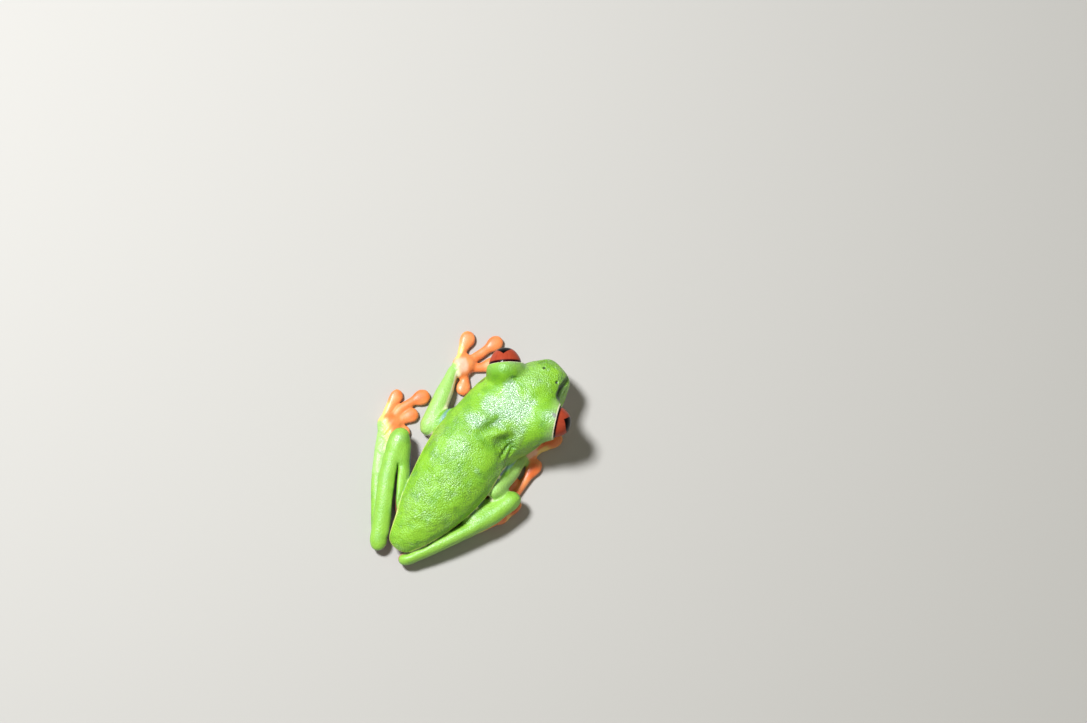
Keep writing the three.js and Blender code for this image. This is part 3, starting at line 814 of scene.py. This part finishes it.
def skin_material():
    m = Nodes("frog_skin")
    where = m.add("TexCoord").outputs["Object"]
    mm = m.add("VectorMath", {"operation": "SCALE"}, Vector=where, Scale=1000.0).outputs[0]
    tint = m.add("VertexColor", {"layer_name": "tint"}).outputs["Color"]
    grain = m.add("Attribute", {"attribute_name": "grain"}).outputs["Fac"]
    wet = m.add("Attribute", {"attribute_name": "wet"}).outputs["Fac"]
    matt = m.add("MapRange", Value=wet, To_Min=0.5, To_Max=0.54)
    shiny = m.add("MapRange", Value=wet, To_Min=0.25, To_Max=0.95)
    film_weight = m.add("MapRange", Value=wet, To_Min=0.12, To_Max=1.0)
    granules = m.add("TexVoronoi", {"feature": "F1"}, Vector=mm, Scale=3.1, Randomness=1.0)
    fine = m.add("TexNoise", Vector=mm, Scale=9.0, Detail=3.0, Roughness=0.6)
    away = granules.outputs["Distance"]
    painted_granule_light = m.add("MapRange", Value=away, From_Min=0.1, From_Max=0.7, To_Min=1.16, To_Max=0.78)
    painted_granule_shading = m.add("Math", {"operation": "MULTIPLY_ADD"})  # painted light and shade on the granules, lighter on their tops and darker between them, fading where the skin is smooth
    m.put(painted_granule_shading, "0", m.add("Math", {"operation": "SUBTRACT"}).outputs[0])
    offset = painted_granule_shading.inputs[0].links[0].from_node
    m.put(offset, "0", painted_granule_light.outputs[0])
    offset.inputs[1].default_value = 1.0
    m.put(painted_granule_shading, "1", grain)
    painted_granule_shading.inputs[2].default_value = 1.0
    shade = m.add("VectorMath", {"operation": "SCALE"}, Vector=tint)
    m.put(shade, "Scale", painted_granule_shading.outputs[0])
    height = m.add("Math", {"operation": "MULTIPLY_ADD"})
    m.put(height, "0", away)
    height.inputs[1].default_value = -1.0
    m.put(height, "2", m.add("Math", {"operation": "MULTIPLY"}).outputs[0])
    small = height.inputs[2].links[0].from_node
    m.put(small, "0", fine.outputs["Fac"])
    small.inputs[1].default_value = 0.35
    bump = m.add("Bump", Height=height.outputs[0], Distance=0.00018)
    m.put(bump, "Strength", grain)
    film = m.add("Bump", Height=height.outputs[0], Distance=0.00012)
    m.put(film, "Strength", grain)
    m.set(
        Base_Color=shade.outputs[0],
        Roughness=matt.outputs[0],
        IOR=2.0,
        Specular_IOR_Level=shiny.outputs[0],
        Specular_Tint=(0.66, 0.84, 1, 1),
        Normal=bump.outputs[0],
        Subsurface_Weight=0.12,
        Subsurface_Radius=(0.0012, 0.0009, 0.0004),
        Subsurface_Scale=0.6,
        Coat_Weight=film_weight.outputs[0],
        Coat_IOR=1.7,
        Coat_Roughness=0.24,
    )
    m.put(m.shader, "Coat Normal", film.outputs[0])
    return m.material


skin.data.materials.append(skin_material())
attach(skin, "root")
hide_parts(*[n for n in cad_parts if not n.startswith("eye_")])


def eye_material(name, edge):
    m = Nodes(name)
    mm = m.add("Attribute", {"attribute_name": "place"}).outputs["Vector"]  # across, up and out, in mm
    place = m.add("SeparateXYZ", Vector=mm)

    def math_(op, a, b=0.0, c=None):
        node = m.add("Math", {"operation": op})
        m.put(node, "0", a)
        m.put(node, "1", b)
        if c is not None:
            m.put(node, "2", c)
        return node.outputs[0]

    x, y, _ = place.outputs
    # out of the pupil's pointed upright shape: above 1 outside
    tall = math_("DIVIDE", y, 2.35)
    wide = math_("MULTIPLY", math_("SUBTRACT", 1.0, math_("POWER", math_("ABSOLUTE", tall), 2.4)), 1.5)
    from_pupil = math_("SUBTRACT", math_("ABSOLUTE", x), wide)
    pupil = m.add("MapRange", Value=from_pupil, From_Min=-0.06, From_Max=0.06, To_Min=0.0, To_Max=1.0)
    # the iris darkens to a black ring under the lids
    out = m.add("Attribute", {"attribute_name": "out"}).outputs["Fac"]
    ring = m.add("MapRange", Value=out, From_Min=edge + 0.2, From_Max=edge + 0.42, To_Min=0.0, To_Max=1.0)
    spot = m.add("CombineXYZ", X=x, Y=y).outputs[0]
    spoke = m.add("VectorMath", {"operation": "NORMALIZE"}, Vector=spot).outputs[0]
    streaks = m.add("TexNoise", Scale=2.2, Detail=4.0, Roughness=0.7, Vector=spoke)
    fibres = m.add("TexNoise", Scale=1.4, Detail=3.0, Vector=mm)
    fine = math_("MULTIPLY", fibres.outputs["Fac"], 0.25)
    light = math_("MULTIPLY_ADD", streaks.outputs["Fac"], 0.9, fine)
    ramp = m.add("Mix", {"data_type": "RGBA"}, Factor=light)
    # sockets 6 and 7 are the colours A and B of a colour mix
    ramp.inputs[6].default_value = (*srgb(112, 26, 16), 1)
    ramp.inputs[7].default_value = (*srgb(192, 84, 56), 1)
    dark = m.add("Mix", {"data_type": "RGBA"}, Factor=ring.outputs[0])
    dark.inputs[6].default_value = (*srgb(38, 4, 14), 1)
    m.put(dark, "7", ramp.outputs[2])
    black = m.add("Mix", {"data_type": "RGBA"}, Factor=pupil.outputs[0])
    black.inputs[6].default_value = (*srgb(6, 5, 6), 1)
    m.put(black, "7", dark.outputs[2])
    m.set(Base_Color=black.outputs[2], Roughness=0.3, Specular_IOR_Level=0.05)
    m.set(Coat_Weight=0.2, Coat_IOR=1.34, Coat_Roughness=0.03)
    return m.material


def eyeball(side):
    """A ball with its pole along the gaze, slightly domed over the iris."""
    rings, around = 48, 96
    tilt = np.linspace(0, np.pi, rings + 1)[1:-1]
    turn = np.linspace(0, 2 * np.pi, around, endpoint=False)
    t, p = np.meshgrid(tilt, turn, indexing="ij")
    radius = EYE_RADIUS - 0.07
    bulge = 1 + 0.075 * np.exp(-((t / math.radians(44)) ** 4))
    round_ball = np.stack([np.sin(t) * np.cos(p), np.sin(t) * np.sin(p), np.cos(t)], -1)
    where = radius * bulge[..., None] * round_ball
    where = np.vstack([where.reshape(-1, 3), (0, 0, radius * 1.075), (0, 0, -radius)])
    top, bottom = len(where) - 2, len(where) - 1
    faces = []
    for i in range(len(tilt) - 1):
        for j in range(around):
            k = (j + 1) % around
            faces.append((i * around + j, (i + 1) * around + j, (i + 1) * around + k, i * around + k))
    last = (len(tilt) - 1) * around
    back, down, roll = (math.radians(v) for v in EYE_TURN[side])
    behind = SIDES[side] * np.cross(RISE, GAZE[side])
    pole = unit(GAZE[side] + math.tan(back) * behind - math.tan(down) * RISE)
    up = unit(RISE - pole * (RISE @ pole))
    across = np.cross(up, pole)
    up, across = math.cos(roll) * up + math.sin(roll) * across, math.cos(roll) * across - math.sin(roll) * up
    turned = EYE[side] + where @ np.stack([across, up, pole])
    mesh = bpy.data.meshes.new(f"eyeball_{side}")
    caps = [(top, j, (j + 1) % around) for j in range(around)]
    caps += [(bottom, last + (j + 1) % around, last + j) for j in range(around)]
    mesh.from_pydata([tuple(w * MM) for w in turned], [], faces + caps)
    place = mesh.attributes.new("place", "FLOAT_VECTOR", "POINT")
    place.data.foreach_set("vector", where.astype(np.float32).ravel())
    out = mesh.attributes.new("out", "FLOAT", "POINT")
    out.data.foreach_set("value", ((turned - EYE[side]) @ GAZE[side]).astype(np.float32))
    for polygon in mesh.polygons:
        polygon.use_smooth = True
    piece = bpy.data.objects.new(f"eyeball_{side}", mesh)
    bpy.context.scene.collection.objects.link(piece)
    mesh.materials.append(eye_material(f"eye_{side}", LID_EDGE[side]))
    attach(piece, "root")
    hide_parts(f"eye_{side}")


for side in SIDES:
    eyeball(side)

# ---------------------------------------------------------------- studio

studio = Nodes("studio_floor")
studio.set(Base_Color=(0.46, 0.455, 0.44, 1), Roughness=0.95)
FLOOR_REACH = 1500  # mm
square = FLOOR_REACH * np.array([(-1.0, -1, 0), (1, -1, 0), (1, 1, 0), (-1, 1, 0)])
floor = new_mesh("floor", square, np.array([[0, 1, 2, 3]]))
floor.data.materials.append(studio.material)

CAMERA_DISTANCE = 611  # mm
TOWARDS_CAMERA = unit((-0.035, 0.17, 0.985))
RIGHT = np.array((-0.749, -0.663, 0.0))
RIGHT = unit(RIGHT - TOWARDS_CAMERA * (RIGHT @ TOWARDS_CAMERA))
TOP = np.cross(TOWARDS_CAMERA, RIGHT)
camera = bpy.data.objects.new("camera", bpy.data.cameras.new("camera"))
camera.data.lens = 100
camera.data.sensor_width = 36
camera.data.clip_start = 0.01
camera.data.clip_end = 10
# The frog is left of and below the middle of the view.
aim = Vector((-0.02438, -0.03103, -1)).rotation_difference(Vector((0, 0, -1)))
turn = Matrix([RIGHT, TOP, TOWARDS_CAMERA]).transposed() @ aim.to_matrix()
place = in_frog(24, 0.9, 6) + CAMERA_DISTANCE * TOWARDS_CAMERA
camera.matrix_world = Matrix.Translation(Vector(place * MM)) @ turn.to_4x4()
bpy.context.scene.collection.objects.link(camera)
bpy.context.scene.camera = camera


def softbox(name, way, size, power, colour=(1, 1, 1), reach=0.6):
    """A square light in a direction given by the photo's right, its top, and towards the camera."""
    data = bpy.data.lights.new(name, "AREA")
    data.size, data.energy, data.color = size, power, colour
    lamp = bpy.data.objects.new(name, data)
    way = (turn @ Vector(way)).normalized()
    lamp.location = way * reach
    lamp.rotation_mode = "QUATERNION"
    lamp.rotation_quaternion = way.to_track_quat("Z", "Y")
    bpy.context.scene.collection.objects.link(lamp)


softbox("key", (-0.34, 0.45, 0.83), 0.1, 5.65)
softbox("fill", (0.9, -0.5, 0.7), 0.6, 0.5, (1, 0.97, 0.66))
world = bpy.data.worlds.new("studio")
world.use_nodes = True
world.node_tree.nodes["Background"].inputs["Color"].default_value = (1, 0.97, 0.88, 1)
world.node_tree.nodes["Background"].inputs["Strength"].default_value = 0.17
bpy.context.scene.world = world
bpy.context.scene.view_settings.view_transform = "Standard"
